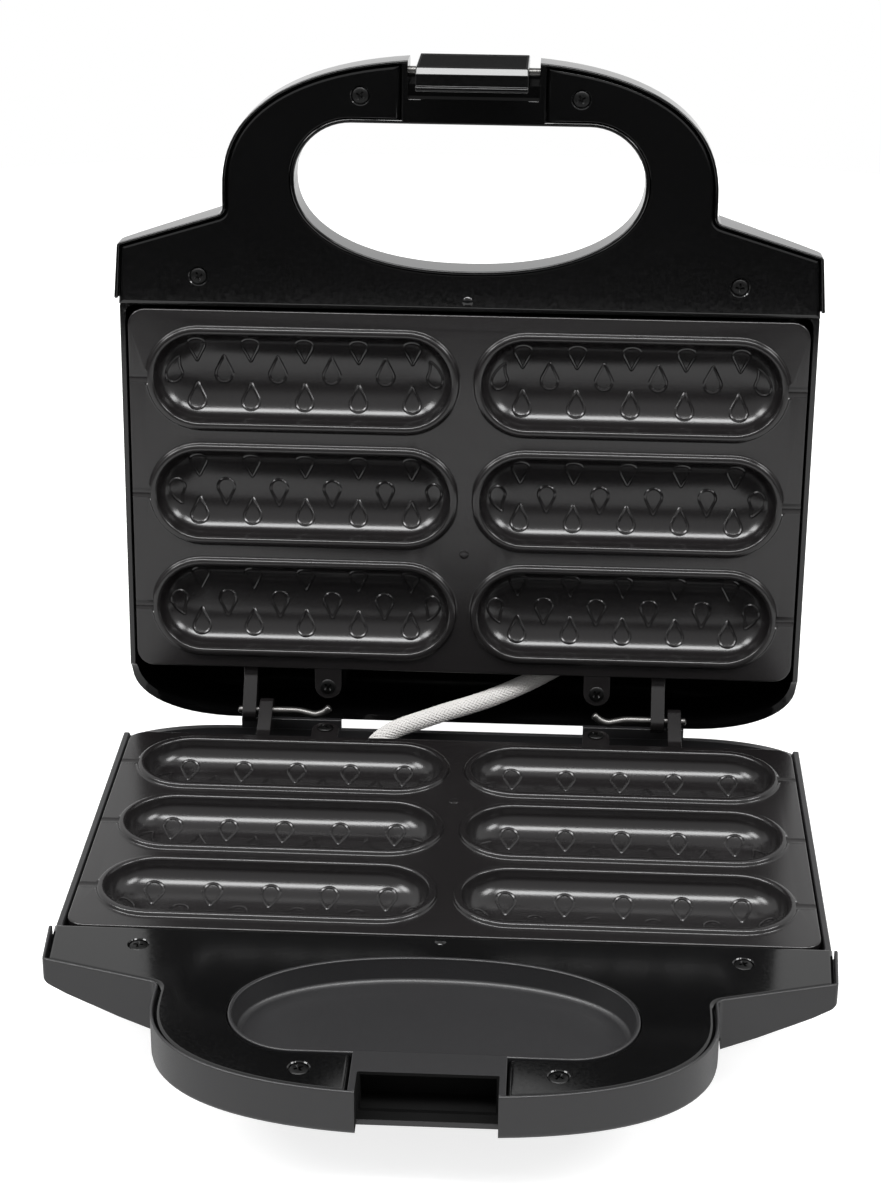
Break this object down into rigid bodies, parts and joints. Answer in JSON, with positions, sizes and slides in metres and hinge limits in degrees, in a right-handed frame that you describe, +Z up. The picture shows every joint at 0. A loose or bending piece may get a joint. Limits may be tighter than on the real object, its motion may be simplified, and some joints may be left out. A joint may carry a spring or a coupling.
{
  "type": "corn dog maker",
  "caption": "Countertop corn dog maker: two hinged shells with fixed loop handles, cast plates with long round-ended cavities, and a latch clip on the lid.",
  "frame": {"origin": "middle of the open object's box, on the surface it stands on", "axes": "+Z up, +X along the hinge to the user's right, +Y from the handles to the hinge side"},
  "size_m": [0.2434, 0.2813, 0.2764],
  "materials": {
    "black_plastic": "satin black moulded plastic",
    "non_stick": "cast aluminium under a dark grey non-stick coat",
    "steel": "plain steel",
    "aluminium_sheet": "mill finish",
    "rubber": "matte black",
    "ceramic": "off-white ceramic",
    "red_lens": "red clear plastic",
    "green_lens": "green clear plastic",
    "woven_glass": "woven glass-fibre sleeve, off-white"
  },
  "bodies": {
    "base": {"base_housing": "black_plastic", "base_handle_cover": "black_plastic", "base_cooking_plate": "non_stick", "base_heating_element": "steel", "base_heat_reflector": "aluminium_sheet", "thermostat": "ceramic", "thermal_fuse": "ceramic", "terminal_block": "ceramic", "inlet_bush": "rubber", "hinge_pin_left": "steel", "hinge_pin_right": "steel", "foot_front_left": "rubber", "foot_front_right": "rubber", "foot_rear_left": "rubber", "foot_rear_right": "rubber", "wiring_sleeve": "woven_glass", "base_cover_screw_1": "steel", "base_cover_screw_2": "steel", "base_cover_screw_3": "steel", "base_cover_screw_4": "steel", "base_plate_screw_a": "steel", "base_plate_screw_b": "steel"},
    "lid": {"lid_housing": "black_plastic", "lid_handle_cover": "black_plastic", "lid_cooking_plate": "non_stick", "lid_heating_element": "steel", "lid_heat_reflector": "aluminium_sheet", "power_lamp": "ceramic", "ready_lamp": "ceramic", "power_lamp_lens": "red_lens", "ready_lamp_lens": "green_lens", "latch_pin": "steel", "lid_cover_screw_1": "steel", "lid_cover_screw_2": "steel", "lid_cover_screw_3": "steel", "lid_cover_screw_4": "steel", "lid_plate_screw_a": "steel", "lid_plate_screw_b": "steel"},
    "latch": {"latch_clip": "black_plastic"}
  },
  "joints": [
    {"name": "lid_hinge", "type": "hinge", "parent": "base", "child": "lid", "pos_m": [0, 0.09336, 0.042], "axis": [1, 0, 0], "range_deg": [0, 94.85], "deforming": ["wiring_sleeve"]},
    {"name": "latch_pivot", "type": "hinge", "parent": "lid", "child": "latch", "pos_m": [0.001, 0.12069, 0.2695], "axis": [-1, 0, 0], "range_deg": [-3, 55]}
  ]
}
